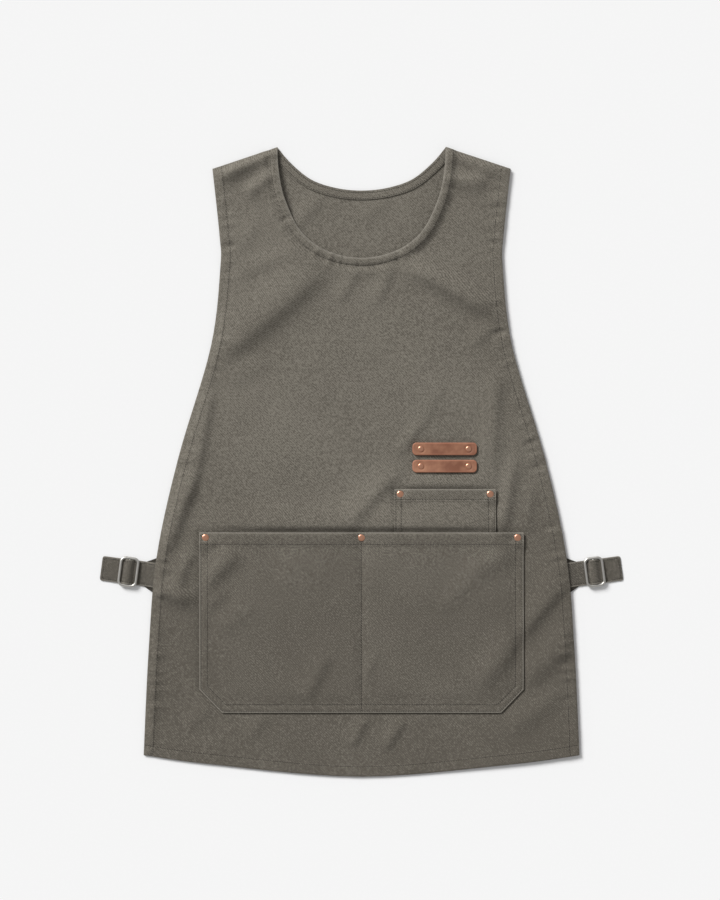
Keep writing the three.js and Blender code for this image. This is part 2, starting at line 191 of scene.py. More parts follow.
def name_pocket_runs(node):
    """A pocket's open top edge, and the line down, along and up again round its sewn edges."""
    runs = split_at_corners(trace_outline(node))
    top = max(range(len(runs)), key=lambda i: middle(runs[i])[1])
    rest = runs[top + 1:] + runs[:top]
    sewn = np.vstack([rest[0], *[run[1:] for run in rest[1:]]])
    return runs[top], sewn


def centre_of(node):
    """The middle of a CAD piece seen from above, in mm."""
    low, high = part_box(node)
    return (np.array(low)[:2] + np.array(high)[:2]) / 2 / MM


front_runs = name_panel_runs("front_panel")
back_runs = name_panel_runs("back_panel")
print("front neckline", round(length_of(front_runs["neckline"])), "mm round,",
      "hem", round(length_of(front_runs["hem"])), "mm wide")

# %% [markdown]
# ## Shaping cloth with sums of small things
# A laid-out garment is nearly flat, and what the eye reads as cloth is a sum of small heights: slow
# swells, a few drawn folds, the step of a hem and the puckers that its stitching pulls. A cloth
# simulation would settle into folds of its own choosing. Adding heights puts each fold where this garment
# has it, so that way was chosen.

# %% Heights that make cloth look like cloth
# In mm: one layer of cloth, the step of a turned edge, the air between two layers, how far a pucker reaches
# from its row of stitching, and half the width of the groove that the row pulls.
CLOTH = 0.6
TURNED = 0.5
AIR = 0.1
PUCKER_REACH = 8
GROOVE_WIDTH = 0.9


def ease(low, high, value):
    """0 at low, 1 at high, and smooth in between. low may be the larger, which turns it round."""
    t = np.clip((value - low) / (high - low), 0, 1)
    return t * t * (3 - 2 * t)


def swell(points, wavelength, seed):
    """A slow wandering between about -1 and 1."""
    chance = np.random.default_rng(seed)
    total = np.zeros(len(points))
    for _ in range(7):
        turn = chance.uniform(0, 2 * math.pi)
        wave = wavelength * chance.uniform(0.7, 1.5)
        phase = chance.uniform(0, 2 * math.pi)
        total += np.sin(points @ [math.cos(turn), math.sin(turn)] * 2 * math.pi / wave + phase)
    return total / 3.5


def ripple(along, wavelength, seed):
    """An uneven wave along a seam, with quiet and lively stretches."""
    chance = np.random.default_rng(seed)
    total = np.zeros(len(along))
    for stretch in (0.7, 1.0, 1.6, 2.3):
        total += np.sin(along * 2 * math.pi / (wavelength * stretch) + chance.uniform(0, 6))
    lively = 0.6 + 0.4 * np.sin(along * 2 * math.pi / (wavelength * 9) + chance.uniform(0, 6))
    return total / 2.2 * lively


def fold(points, start, end, gentle, steep, height, bow=0.0):
    """A soft ridge that falls away gently to its left and steeply to its right. bow bends it to its left."""
    start, end = np.array(start, float), np.array(end, float)
    length = np.linalg.norm(end - start)
    ahead = (end - start) / length
    far = (points - start) @ ahead / length
    along = np.clip(far, 0, 1)
    away = (points - start) @ [-ahead[1], ahead[0]] - bow * 4 * along * (1 - along)
    width = np.where(away > 0, gentle, steep)
    beyond = (far - along) * length / gentle
    taper = ease(-0.05, 0.3, along) * ease(1.05, 0.7, along)
    return height * taper * np.exp(-(away / width) ** 2 - beyond ** 2)


def away_and_along(run, points):
    """For each point, its distance from a line and how far along the line its nearest place is."""
    away = np.full(len(points), np.inf)
    along = np.zeros(len(points))
    gone = 0.0
    for a, b in zip(run[:-1], run[1:]):
        step = b - a
        length = np.linalg.norm(step)
        t = np.clip((points - a) @ step / length ** 2, 0, 1)
        distance = np.linalg.norm(points - a - t[:, None] * step, axis=1)
        nearer = distance < away
        away[nearer] = distance[nearer]
        along[nearer] = gone + t[nearer] * length
        gone += length
    return away, along


def hem_shape(points, hem):
    """What a turned edge adds: its extra layer, the grooves of its stitching and the puckers they pull."""
    away, along = away_and_along(hem["run"], points)
    layer = hem["layer"] * ease(hem["width"] + 0.5, hem["width"] - 0.5, away)
    near_row = np.exp(-((away - hem["rows"][-1]) / PUCKER_REACH) ** 2)
    shape = hem["pucker"] * ripple(along, hem["wave"], hem["seed"]) * near_row
    for row in hem["rows"]:
        shape -= hem["pull"] * np.exp(-((away - row) / GROOVE_WIDTH) ** 2)
    return layer, shape


def add_hems(points, hems):
    """The layers and the shape of several hems together. Where hems cross, the layers don't add up."""
    layers, shapes = np.zeros(len(points)), np.zeros(len(points))
    for hem in hems:
        layer, shape = hem_shape(points, hem)
        layers = np.maximum(layers, layer)
        shapes += shape
    return layers, shapes


def make_hem(run, width, rows, pucker, wave, seed, layer=TURNED, pull=0.3):
    """One turned edge. rows are the distances of its stitching from the edge, in mm."""
    return {"run": spaced(run, 7), "edge": run, "width": width, "rows": rows, "pucker": pucker, "wave": wave,
            "seed": seed, "layer": layer, "pull": pull}


# %% [markdown]
# ## Making one piece of cloth
# A sheet needs small, even triangles inside, and lines of vertices wherever it steps or bends sharply. A
# grid can't follow a curved hem, so the points are scattered in an even honeycomb, the hem lines are laid
# among them, and a constrained Delaunay triangulation joins them all. The sheet is then given a top, an
# underside and a rounded edge.

# %% Cut a sheet
# How far an edge's lightening reaches, in mm: partly rubbing and partly a painted highlight.
RUB_AND_LIGHT_WIDTH = 1.5


def inside(outline, points):
    """Which points lie inside a closed outline."""
    odd = np.zeros(len(points), bool)
    x, y = points.T
    for (ax, ay), (bx, by) in zip(outline, np.roll(outline, -1, axis=0)):
        if ay != by:
            crosses = (ay > y) != (by > y)
            odd ^= crosses & (x < (bx - ax) * (y - ay) / (by - ay) + ax)
    return odd


def honeycomb(outline, step):
    """Even points over the outline's box, every second row moved half a step."""
    low, high = outline.min(0), outline.max(0)
    across, up = np.meshgrid(np.arange(low[0], high[0], step), np.arange(low[1], high[1], step * 0.866))
    across[1::2] += step / 2
    return np.column_stack([across.ravel(), up.ravel()])


def triangulate(rim, guides, step):
    """Points and triangles inside a rim, with the guide lines kept as edges."""
    grid = honeycomb(rim, step)
    grid = grid[inside(rim, grid)]
    for line in [np.vstack([rim, rim[:1]]), *guides]:
        away, _ = away_and_along(line, grid)
        grid = grid[away > step * 0.45]
    points = [rim]
    edges = [(i, (i + 1) % len(rim)) for i in range(len(rim))]
    count = len(rim)
    for line in guides:
        line = line[inside(rim, line)]
        if len(line) > 1:
            edges += [(count + i, count + i + 1) for i in range(len(line) - 1)]
            points.append(line)
            count += len(line)
    points.append(grid)
    flat, _, triangles, origins, _, _ = delaunay_2d_cdt(np.vstack(points).tolist(), edges, [], 1, 1e-4)
    where = {first: new for new, old in enumerate(origins) for first in old if first < len(rim)}
    return np.array(flat), [list(t) for t in triangles], [where[i] for i in range(len(rim))]


def make_object(name, points, faces, material, worn_and_lit=None):
    """A smooth mesh object from points in mm. The last argument says, from 0 to 1, how much each point is
    lightened, partly as wear and partly as a painted highlight.
    """
    mesh = bpy.data.meshes.new(name)
    mesh.from_pydata((np.asarray(points, float) * MM).tolist(), [], [list(map(int, face)) for face in faces])
    mesh.materials.append(material)
    mesh.polygons.foreach_set("use_smooth", [True] * len(mesh.polygons))
    if worn_and_lit is not None:
        mesh.attributes.new("worn_and_lit", "FLOAT", "POINT").data.foreach_set("value", np.asarray(worn_and_lit, np.float32))
    mesh.update()
    piece = bpy.data.objects.new(name, mesh)
    bpy.context.scene.collection.objects.link(piece)
    return piece


def cut_sheet(name, runs, top, thickness, guides, step, material, edge=CLOTH / 2, rubbed_and_lit_runs=()):
    """A closed sheet: a top surface, an underside below it and a rounded edge that reaches the outline."""
    rim = np.vstack([spaced(run, step * 0.7)[:-1] for run in runs])
    ahead = np.roll(rim, -1, axis=0) - np.roll(rim, 1, axis=0)
    ahead /= np.linalg.norm(ahead, axis=1)[:, None]
    outward = np.column_stack([ahead[:, 1], -ahead[:, 0]])
    flat, triangles, rim_ids = triangulate(rim - outward * edge, guides, step)
    high = top(flat)
    low = high - thickness(flat)
    # Points near these runs are painted lighter, partly as wear and partly as a painted highlight.
    rubbed_and_lit = np.zeros(len(flat))
    for run in rubbed_and_lit_runs:
        away, _ = away_and_along(spaced(run, 2), flat)
        rubbed_and_lit = np.maximum(rubbed_and_lit, np.exp(-(away / RUB_AND_LIGHT_WIDTH) ** 2))
    count = len(flat)
    points = [np.column_stack([flat, high]), np.column_stack([flat, low])]
    worn_and_lit = [rubbed_and_lit, rubbed_and_lit]
    faces = [list(t) for t in triangles] + [[count + i for i in reversed(t)] for t in triangles]
    centre = (high[rim_ids] + low[rim_ids]) / 2
    half = (high[rim_ids] - low[rim_ids]) / 2
    rings = [rim_ids]
    for angle in (50, 0, -50):
        turn = math.radians(angle)
        ring = flat[rim_ids] + outward * edge * math.cos(turn)
        start = sum(len(p) for p in points)
        points.append(np.column_stack([ring, centre + half * math.sin(turn)]))
        worn_and_lit.append(rubbed_and_lit[rim_ids])
        rings.append(list(range(start, start + len(rim))))
    rings.append([count + i for i in rim_ids])
    for upper, lower in zip(rings, rings[1:]):
        for i in range(len(rim)):
            j = (i + 1) % len(rim)
            faces.append([upper[i], lower[i], lower[j], upper[j]])
    return make_object(name, np.vstack(points), faces, material, np.concatenate(worn_and_lit))


def hem_guides(hem, step):
    """Lines of points on both sides of a hem's step and along its stitching."""
    distances = [hem["width"] - 0.4, hem["width"] + 0.5]
    for row in hem["rows"]:
        distances += [row - 1.0, row, row + 1.0]
    kept = [distances[0]]
    for distance in sorted(distances):
        if min(abs(distance - other) for other in kept) > 0.35 and distance > 0.5:
            kept.append(distance)
    return [spaced(inset(hem["edge"], distance), step) for distance in kept]


# %% [markdown]
# ## Thread
# Each stitch is its own short piece of thread, a little proud of the cloth in its middle and dipping at
# both ends where it goes through. The real stitch is about 3 mm long, which still shows from this far
# away, so it is drawn at its true size.

# %% Sew rows of stitches
STITCH = 2.9
THREAD = 0.36

# how far along the stitch, how thick and how far above the cloth, at four places of one stitch
STITCH_SHAPE = [(0.02, 0.6, -0.25), (0.16, 1.0, 0.12), (0.56, 1.0, 0.15), (0.7, 0.6, -0.25)]


def sew(name, rows, outline, surface, material):
    """One mesh of all the stitches along the rows, lying on a surface and kept inside an outline."""
    marks = [spaced(row, STITCH) for row in rows]
    starts = np.vstack([m[:-1] for m in marks])
    ends = np.vstack([m[1:] for m in marks])
    kept = inside(outline, starts) & inside(outline, ends)
    starts, ends = starts[kept], ends[kept]
    ahead = (ends - starts) / np.linalg.norm(ends - starts, axis=1)[:, None]
    across = np.column_stack([-ahead[:, 1], ahead[:, 0]])
    sides = 6
    rings = []
    for far, size, rise in STITCH_SHAPE:
        place = starts + (ends - starts) * far
        height = surface(place) + rise
        for k in range(sides):
            turn = 2 * math.pi * k / sides
            flat = place + across * THREAD * size * math.cos(turn)
            rings.append(np.column_stack([flat, height + THREAD * size * math.sin(turn)]))
    each = len(STITCH_SHAPE) * sides
    points = np.stack(rings, axis=1).reshape(-1, 3)
    one = [[k for k in reversed(range(sides))], [each - sides + k for k in range(sides)]]
    for ring in range(len(STITCH_SHAPE) - 1):
        for k in range(sides):
            m = (k + 1) % sides
            low, high = ring * sides, (ring + 1) * sides
            one.append([low + k, low + m, high + m, high + k])
    faces = [[i * each + v for v in face] for i in range(len(starts)) for face in one]
    return make_object(name, points, faces, material)


def rows_of(hem):
    return [inset(hem["edge"], distance) for distance in hem["rows"]]


# %% [markdown]
# ## Metal
# Caps are spun or stamped, so they are turned about an axis. Wire is one round section carried along a
# line.

# %% Turned pieces and wire
def turn_round(profile, place, base, steps=40):
    """Points and faces of a profile of (radius, height) turned about an upright axis."""
    points, faces, rings = [], [], []
    for radius, height in profile:
        angles = [0.0] if radius == 0 else [2 * math.pi * i / steps for i in range(steps)]
        rings.append([len(points) + i for i in range(len(angles))])
        for a in angles:
            points.append((place[0] + radius * math.cos(a), place[1] + radius * math.sin(a), base + height))
    closed = profile[0][0] > 0
    for lower, upper in zip(rings, rings[1:] + rings[:1] if closed else rings[1:]):
        for i in range(steps):
            j = (i + 1) % steps
            if len(lower) == 1:
                faces.append([lower[0], upper[j], upper[i]])
            elif len(upper) == 1:
                faces.append([lower[i], lower[j], upper[0]])
            else:
                faces.append([lower[i], lower[j], upper[j], upper[i]])
    return points, faces


def draw_wire(path, radius, closed, sides=16):
    """Points and faces of a round wire along a path of points in mm."""
    path = np.asarray(path, float)
    if closed:
        ahead = np.roll(path, -1, axis=0) - np.roll(path, 1, axis=0)
    else:
        ahead = np.gradient(path, axis=0)
    ahead /= np.linalg.norm(ahead, axis=1)[:, None]
    side = np.cross(ahead, [0, 0, 1.0])
    rise = np.cross(side, ahead)
    points = []
    for k in range(sides):
        turn = 2 * math.pi * k / sides
        points.append(path + radius * (side * math.cos(turn) + rise * math.sin(turn)))
    points = np.stack(points, axis=1).reshape(-1, 3)
    count = len(path)
    faces = []
    for i in range(count if closed else count - 1):
        for k in range(sides):
            a, b = i * sides, (i + 1) % count * sides
            m = (k + 1) % sides
            faces.append([a + k, a + m, b + m, b + k])
    if not closed:
        faces.append([k for k in reversed(range(sides))])
        faces.append([(count - 1) * sides + k for k in range(sides)])
    return points, faces


def finish_piece(piece, motion, nodes=()):
    """Hides the CAD nodes that a piece stands for. A piece that moves with one body is hung from it; any other
    has its placement baked into its mesh.
    """
    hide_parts(*nodes)
    if len(motion) == 1:
        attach(piece, *motion)
    else:
        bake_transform(piece)

# %% [markdown]
# ## Canvas
# The cloth is a washed cotton canvas: dyed yarn woven tightly, with no shine. The weave itself, two yarns to
# the millimetre, is finer than a render of the whole garment can show, so it is drawn three times coarser and
# kept faint. Slow patches of lighter and darker dye, and yarns of uneven thickness, keep the colour from
# looking painted. A light falloff is painted in as well: lighter towards the top, darker towards the bottom
# and the right. Folded edges are lighter again, partly from rubbing and partly as a painted highlight. The
# straps are a little darker, the back tabs are painted much darker as the shadow of the panel over them, and
# the thread is the darkest, its own colour deepened by the painted shade of its needle holes.

# %% Canvas and thread
def make_canvas(name, deep, light_tone, rubbed_and_lit):
    """Woven cotton. Its colour lies between the first two colours, with a painted light falloff added; the
    third is an edge's colour, lighter partly from wear and partly as a painted highlight.
    """
    material = new_material(name)
    place = add(material, "ShaderNodeTexCoord", {}).outputs["Object"]
    # Patches of dye are about 110 mm across: 1 / 0.11 is about 9.
    patches = add(material, "ShaderNodeTexNoise", {"Vector": place, "Scale": 9.0, "Detail": 1.0})
    # Uneven spots in the yarn are under a millimetre long and would not show. Drawn at 2 mm: 1 / 0.002 is 500.
    yarns = add(
        material, "ShaderNodeTexNoise", {"Vector": place, "Scale": 500.0, "Detail": 2.0, "Roughness": 0.6}
    )
    # A yarn pitch of 1.5 mm: 2 * pi / 20 / 0.0015 is about 210.
    twill = add(
        material, "ShaderNodeTexWave", {"Vector": place, "Scale": 210.0, "Distortion": 3.0, "Detail": 1.0},
        wave_type="BANDS", bands_direction="DIAGONAL",
    )
    grain = add(
        material, "ShaderNodeMix", {"Factor": 0.19, 2: yarns.outputs["Fac"], 3: twill.outputs["Fac"]},
        data_type="FLOAT",
    )
    # Painted light falloff: the cloth is painted lighter towards the top and darker towards the bottom and the
    # right.
    up = add(material, "ShaderNodeSeparateXYZ", {"Vector": place})
    upper = add(
        material, "ShaderNodeMapRange",
        {"Value": up.outputs["Y"], "From Min": -0.22, "From Max": 0.02, "To Min": -0.34, "To Max": 0.04},
        interpolation_type="SMOOTHSTEP",
    )
    painted_right_shade = add(
        material, "ShaderNodeMapRange",
        {"Value": up.outputs["X"], "From Min": 0.06, "From Max": 0.22, "To Min": 0.0, "To Max": -0.16},
        interpolation_type="SMOOTHSTEP",
    )
    painted_light_falloff = add(material, "ShaderNodeMath", {0: upper.outputs[0], 1: painted_right_shade.outputs[0]}, operation="ADD")
    coarse = add(
        material, "ShaderNodeMath", {0: grain.outputs[0], 1: 3.2, 2: painted_light_falloff.outputs[0]},
        operation="MULTIPLY_ADD",
    )
    mixed = add(
        material, "ShaderNodeMath", {0: patches.outputs["Fac"], 1: 0.5, 2: coarse.outputs[0]},
        operation="MULTIPLY_ADD",
    )
    total = add(material, "ShaderNodeMath", {0: mixed.outputs[0], 1: -0.85}, operation="ADD")
    shade = add(material, "ShaderNodeMapRange", {"Value": total.outputs[0], "From Min": 0.5, "From Max": 1.5})
    colour = add(
        material, "ShaderNodeMix", {"Factor": shade.outputs[0], 6: linear(deep), 7: linear(light_tone)},
        data_type="RGBA",
    )
    # Marked edges are mixed towards the edge colour: partly rubbing and partly a painted highlight.
    worn_and_lit = add(material, "ShaderNodeAttribute", {}, attribute_name="worn_and_lit")
    edge = add(material, "ShaderNodeMath", {0: worn_and_lit.outputs["Fac"], 1: 0.4}, operation="MULTIPLY")
    edged = add(
        material, "ShaderNodeMix", {"Factor": edge.outputs[0], 6: colour.outputs[2], 7: linear(rubbed_and_lit)},
        data_type="RGBA",
    )
    bump = add(material, "ShaderNodeBump", {"Height": grain.outputs[0], "Strength": 0.5, "Distance": 0.0008})
    cloth = add(
        material, "ShaderNodeBsdfPrincipled",
        {"Base Color": edged.outputs[2], "Roughness": 0.92, "IOR": 1.45, "Normal": bump.outputs[0],
         "Specular IOR Level": 0.25, "Sheen Weight": 0.1, "Sheen Roughness": 0.5},
    )
    set_surface(material, cloth)
    return material


canvas = make_canvas("washed canvas", "#544F47", "#7C776D", "#99948A")
strap_canvas = make_canvas("strap canvas", "#4D4942", "#757067", "#99948A")
# The back tabs' canvas is painted much darker as painted shadow, the shadow of the panel's edge lying over
# them.
painted_shadow_canvas = make_canvas("canvas with painted shadow", "#2E2B26", "#47433C", "#47433C")
# The thread is painted darker than its own colour, as the painted shade of its needle holes.
thread = make_canvas("cotton thread with painted shade", "#2B2824", "#3D3933", "#3D3933")
print("canvas and thread are ready")

# %% [markdown]
# ## Leather
# The keepers are vegetable-tanned cowhide, cut with a die and burnished smooth along the cut. The hide takes
# its dye unevenly, so large soft patches differ, pores show as fine specks, and the edge is lighter and
# redder, partly from burnishing and partly as a painted highlight.

# %% Leather
def make_leather():
    """Dyed cowhide with a soft gloss."""
    material = new_material("tanned leather")
    place = add(material, "ShaderNodeTexCoord", {}).outputs["Object"]
    # Uneven dye drifts over about 22 mm: 1 / 0.022 is about 45.
    cloudy = add(
        material, "ShaderNodeTexNoise", {"Vector": place, "Scale": 45.0, "Detail": 3.0, "Roughness": 0.55}
    )
    # Pores are about 0.2 mm apart, too fine to show, so they are drawn at 1.1 mm: 1 / 0.0011 is about 900.
    pores = add(material, "ShaderNodeTexVoronoi", {"Vector": place, "Scale": 900.0})
    shade = add(
        material, "ShaderNodeMapRange", {"Value": cloudy.outputs["Fac"], "From Min": 0.38, "From Max": 0.62}
    )
    colour = add(
        material, "ShaderNodeMix", {"Factor": shade.outputs[0], 6: linear("#774A35"), 7: linear("#9A6C52")},
        data_type="RGBA",
    )
    # Marked edges are lighter and redder: partly burnishing and partly a painted highlight.
    worn_and_lit = add(material, "ShaderNodeAttribute", {}, attribute_name="worn_and_lit")
    edge = add(material, "ShaderNodeMath", {0: worn_and_lit.outputs["Fac"], 1: 0.6}, operation="MULTIPLY")
    edged = add(
        material, "ShaderNodeMix", {"Factor": edge.outputs[0], 6: colour.outputs[2], 7: linear("#AD735A")},
        data_type="RGBA",
    )
    gloss = add(
        material, "ShaderNodeMapRange",
        {"Value": cloudy.outputs["Fac"], "From Min": 0.3, "From Max": 0.7, "To Min": 0.5, "To Max": 0.68},
    )
    bump = add(
        material, "ShaderNodeBump", {"Height": pores.outputs["Distance"], "Strength": 0.3, "Distance": 0.0002}
    )
    hide = add(
        material, "ShaderNodeBsdfPrincipled",
        {"Base Color": edged.outputs[2], "Roughness": gloss.outputs[0], "IOR": 1.5,
         "Normal": bump.outputs[0]},
    )
    set_surface(material, hide)
    return material


leather = make_leather()
print("leather is ready")

# %% [markdown]
# ## Copper and nickel
# The rivets are copper-plated steel caps, stamped and tumbled, so they are bright with a faint haze of
# handling. The sliders are bent from steel wire, welded and nickel-plated; plating rounds off every edge
# and leaves a slightly uneven satin. Both are plain metals: their colour is the colour of what they
# reflect.

# %% Metals
def make_metal(name, clean, hazed, smooth, rough):
    """Plated metal whose colour and gloss both drift between clean and hazed."""
    material = new_material(name)
    place = add(material, "ShaderNodeTexCoord", {}).outputs["Object"]
    # Haze from handling changes over about 3 mm, a third of a rivet's cap: 1 / 0.0029 is about 350.
    haze = add(material, "ShaderNodeTexNoise", {"Vector": place, "Scale": 350.0, "Detail": 3.0})
    colour = add(
        material, "ShaderNodeMix", {"Factor": haze.outputs["Fac"], 6: linear(clean), 7: linear(hazed)},
        data_type="RGBA",
    )
    gloss = add(
        material, "ShaderNodeMapRange",
        {"Value": haze.outputs["Fac"], "From Min": 0.3, "From Max": 0.7, "To Min": smooth, "To Max": rough},
    )
    metal = add(
        material, "ShaderNodeBsdfPrincipled",
        {"Base Color": colour.outputs[2], "Metallic": 1.0, "Roughness": gloss.outputs[0]},
    )
    set_surface(material, metal)
    return material


copper = make_metal("copper plate", "#E3AC90", "#C58E73", 0.30, 0.40)
nickel = make_metal("nickel plate", "#CFCDC8", "#AFACA6", 0.36, 0.48)
print("copper and nickel are ready")

# %% [markdown]
# ## How the two panels lie
# The back panel lies on the table and rises and falls by less than a millimetre. The front panel lies on
# it, drawn into long folds at the armholes and the waist, where the cloth was last gripped and where the
# straps pull.

# %% The lie of the back panel
SIDE_HEM = 12.0
BOTTOM_HEM = 13.0
NECK_BAND = 10.4

back_hems = [make_hem(run, SIDE_HEM, [11.1], 0.1, 13, 40 + i) for i, run in enumerate(back_runs["sides"])]
back_hems.append(make_hem(back_runs["hem"], BOTTOM_HEM, [12.1], 0.08, 11, 42))


def back_lie(points):
    """The top of the back panel without its hems."""
    away, _ = away_and_along(spaced(back_runs["hem"], 12), points)
    total = CLOTH + 0.3 + 0.2 * swell(points, 130, 5) * ease(0, 40, away)
    total += fold(points, (-86, 276), (-46, 322), 12, 8, 2.0) + fold(points, (-4, 286), (36, 322), 12, 9, 1.4)
    return total + fold(points, (34, 330), (78, 292), 12, 9, 0.6)


def back_top(points):
    """The top of the back panel with its hems, which lie flatter than the front's."""
    layers, shapes = add_hems(points, back_hems)
    return back_lie(points) + layers + shapes * 0.5


def back_thickness(points):
    return CLOTH + add_hems(points, back_hems)[0]


# %% The lie of the front panel
# start, end, gentle width, steep width, height and bow of each fold on the front panel, in mm
FRONT_FOLDS = [
    ((-196, 110), (-34, 246), 34, 16, 7.6, -4),
    ((-170, 98), (-110, 122), 14, 13, 2.0, 0),
    ((-156, 222), (-72, 256), 12, 9, 1.8, 0),
    ((-150, 256), (-122, 288), 10, 8, 1.2, 0),
    ((44, 242), (172, 172), 15, 11, 8.0, 0),
    ((128, 138), (164, 168), 10, 7, 1.8, 0),
    ((-180, 337), (-94, 389), 13, 13, 9.5, 0),
    ((-142, 318), (-102, 350), 8, 10, 4.6, 0),
    ((98, 382), (176, 350), 9, 13, 7.0, 0),
    ((98, 340), (154, 334), 9, 12, 4.4, 0),
    ((-28, 188), (-3, 236), 11, 6, 1.8, 0),
    ((16, 186), (38, 238), 10, 6, 2.1, 0),
    ((-24, -84), (54, -2), 17, 9, 3.8, 2),
    ((44, 6), (72, 50), 9, 6, 2.2, 0),
    ((66, 30), (100, 98), 10, 6, 1.1, 0),
    ((158, -26), (165, 118), 15, 9, 3.4, 3),
    ((166, -92), (186, 14), 9, 8, 3.6, 0),
    ((196, -96), (206, -20), 8, 7, 1.6, 0),
    ((-212, -64), (-178, 112), 16, 7, 3.6, -3),
    ((-242, -126), (-200, -10), 16, 9, 5.6, 0),
    ((-224, -158), (-202, -100), 9, 7, 2.8, 0),
    ((-276, -142), (-196, -168), 10, 12, 7.4, 0),
    ((-254, -362), (-243, -160), 7, 9, 2.4, 0),
    ((186, -214), (248, -136), 17, 9, 4.4, 0),
    ((190, -272), (262, -196), 19, 15, 4.2, 0),
    ((170, -328), (250, -266), 15, 14, 2.8, 0),
    ((-14, -346), (8, -304), 10, 5, 2.2, 0),
    ((26, -348), (52, -306), 11, 6, 2.8, 0),
    ((-140, -336), (-112, -302), 11, 7, 1.4, 0),
    ((-214, -322), (-178, -290), 11, 8, 1.3, 0),
]

front_hems = [
    make_hem(front_runs["sides"][0], SIDE_HEM, [11.1], 1.5, 15, 21, pull=0.35),
    make_hem(front_runs["sides"][1], SIDE_HEM, [11.1], 1.5, 15, 22, pull=0.35),
    make_hem(front_runs["hem"], BOTTOM_HEM, [12.1], 0.25, 11, 23, pull=0.35),
    make_hem(front_runs["neckline"], NECK_BAND, [9.2], 1.3, 9.0, 24, 0.3, 0.35),
]
wide_top, wide_sewn = name_pocket_runs("wide_pocket")
tool_top, tool_sewn = name_pocket_runs("tool_pocket")
rivet_places = {name: centre_of(name) for name in frame["nodes"] if "rivet_cap" in name}
TRENCH_DEPTH = 1.1
TRENCH_REACH = 2.2


def dents(points, depth, reach):
    """Where each rivet presses the cloth down."""
    total = np.zeros(len(points))
    for place in rivet_places.values():
        total -= depth * np.exp(-((points - place) ** 2).sum(1) / reach ** 2)
    return total


keeper_outlines = [spaced(trace_outline(f"{level}_leather_keeper"), 3) for level in ("upper", "lower")]


def trench(points):
    """The narrow dip that sewing and rivets pull into the panel just outside a pocket's or keeper's edges."""
    total = np.zeros(len(points))
    for run in (wide_sewn, tool_sewn, *keeper_outlines):
        away, _ = away_and_along(run, points)
        total -= TRENCH_DEPTH * np.exp(-(away / TRENCH_REACH) ** 2)
    return total


def neckline_shape(points):
    """Seen from the seam of the neckline: a dip along it, and a drop from the band on the right."""
    away, _ = away_and_along(spaced(front_runs["neckline"], 8), points)
    rightwards = ease(15, 75, points[:, 0])
    dip = np.exp(-((away - 9.8) / np.where(away < 9.8, 1.2, 5.0)) ** 2)
    puff = 0.7 * np.exp(-((away - 17) / 5) ** 2)
    drop = 3.8 * ease(16, 7, away)
    return 0.5 * ease(30, 0, away) + (1 - rightwards) * (puff - 1.4 * dip) + rightwards * drop


def front_lie(points):
    """The top of the front panel without its hems: swells, folds and the way it settles at its edges."""
    total = 3.3 + 0.4 * swell(points, 170, 11) + 0.16 * swell(points, 60, 12) + 0.05 * swell(points, 22, 13)
    bent = fold(points, wide_top.min(0) + [-16, 7], wide_top.max(0) + [16, 7], 24, 3.6, 4.2)
    bent += fold(points, tool_top.min(0) + [-8, 5], tool_top.max(0) + [8, 5], 14, 4, 3.0)
    for start, end, gentle, steep, height, bow in FRONT_FOLDS:
        bent += fold(points, start, end, gentle, steep, height, bow)
    settle = np.full(len(points), np.inf)
    for run in [*front_runs["sides"], front_runs["hem"], *front_runs["shoulders"]]:
        away, _ = away_and_along(spaced(run, 12), points)
        settle = np.minimum(settle, away)
    resting = 2.1 + 0.1 * swell(points, 40, 14) + 1.7 * ease(60, 200, points[:, 0])
    total = resting + (total - resting) * ease(-2, 24, settle) + bent * ease(-2, 12, settle)
    for side in ("left", "right"):
        near = np.abs(points - centre_of(f"{side}_front_strap") * [0.86, 1.0])
        total += 1.4 * ease(25, 12, near[:, 1]) * ease(34, 8, near[:, 0])
    total += 4.2 * np.exp(-(((points - [-92, 334]) / [20, 40]) ** 2).sum(1))
    return total + neckline_shape(points) + dents(points, 0.4, 6) + trench(points)


def front_top(points):
    """The top of the front panel with its hems."""
    layers, shapes = add_hems(points, front_hems)
    return front_lie(points) + layers + shapes


def front_thickness(points):
    return CLOTH + add_hems(points, front_hems)[0]


# %% [markdown]
# ## The panels
# Each panel is one width of canvas. Its sides and lower edge are turned in twice and stitched, which
# leaves a band of extra layers with a clear step. Guide lines on both sides of the step keep it crisp.

# %% Cut the panels
PANEL_STEP = 3.2


def outline_of(runs):
    return np.vstack([run[:-1] for run in runs])


front_outline = split_at_corners(trace_outline("front_panel"))
back_outline = split_at_corners(trace_outline("back_panel"))
front_panel = cut_sheet(
    "front_panel_cloth", front_outline, front_top, front_thickness,
    [line for hem in front_hems for line in hem_guides(hem, PANEL_STEP)], PANEL_STEP, canvas,
    rubbed_and_lit_runs=[front_runs["neckline"]],
)
back_panel = cut_sheet(
    "back_panel_cloth", back_outline, back_top, back_thickness,
    [line for hem in back_hems for line in hem_guides(hem, PANEL_STEP * 1.5)], PANEL_STEP * 1.4, canvas,
)
front_rows = [row for hem in front_hems for row in rows_of(hem)]
front_stitches = sew("front_panel_stitches", front_rows, outline_of(front_outline), front_top, thread)
finish_piece(front_panel, ["front"], ["front_panel"])
finish_piece(front_stitches, ["front"])
finish_piece(back_panel, ["back"], ["back_panel"])
print("front panel", len(front_panel.data.vertices), "points,",
      "back panel", len(back_panel.data.vertices), "points")

# %% [markdown]
# ## Neck facings and shoulder seams
# A curved neckline can't be turned under, so a shaped strip is sewn on and folded to the inside. The back
# one shows through the front neckline, with a row of stitching at each edge. The shoulder seams are
# folded between the panels.

# %% Face the necklines and fill the shoulders
FACING_STEP = 2.2
FACING_ROWS = (2.6, 9.4)


